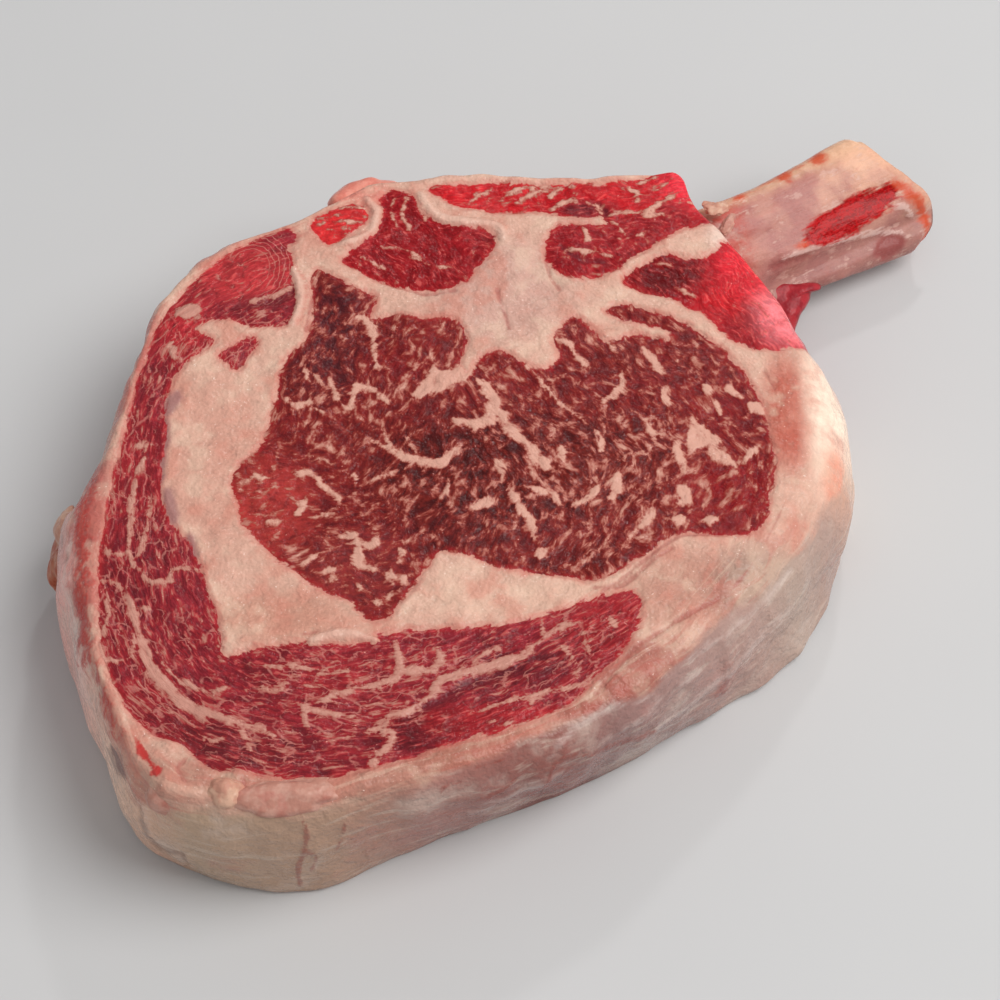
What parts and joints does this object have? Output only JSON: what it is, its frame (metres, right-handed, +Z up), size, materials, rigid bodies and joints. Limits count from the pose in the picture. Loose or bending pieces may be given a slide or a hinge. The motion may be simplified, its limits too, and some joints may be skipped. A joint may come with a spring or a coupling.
{
  "type": "cowboy steak",
  "caption": "Thick raw rib steak on the bone, its lean muscles running through a body of fat, with a scraped rib standing out of one corner.",
  "frame": {"origin": "centre of the bounding box at its bottom, on the surface that the steak lies on", "axes": "+Z up through the steak's thickness, +X to the right and +Y away from the front of the picture, with the rib leaving the far right corner"},
  "size_m": [0.2018, 0.1899, 0.036],
  "materials": {
    "fat": "moist pinkish-cream fat",
    "eye_lean": "wet dark red lean meat",
    "lean": "wet red lean meat",
    "bone": "scraped pale pink bone"
  },
  "bodies": {
    "root": {"fat_body": "fat", "eye_muscle": "eye_lean", "cap_muscle": "lean", "upper_left_muscle": "lean", "corner_muscle": "lean", "strip_muscle": "lean", "rib_side_muscle": "lean", "side_muscle": "lean", "rib_bone": "bone"}
  },
  "joints": []
}
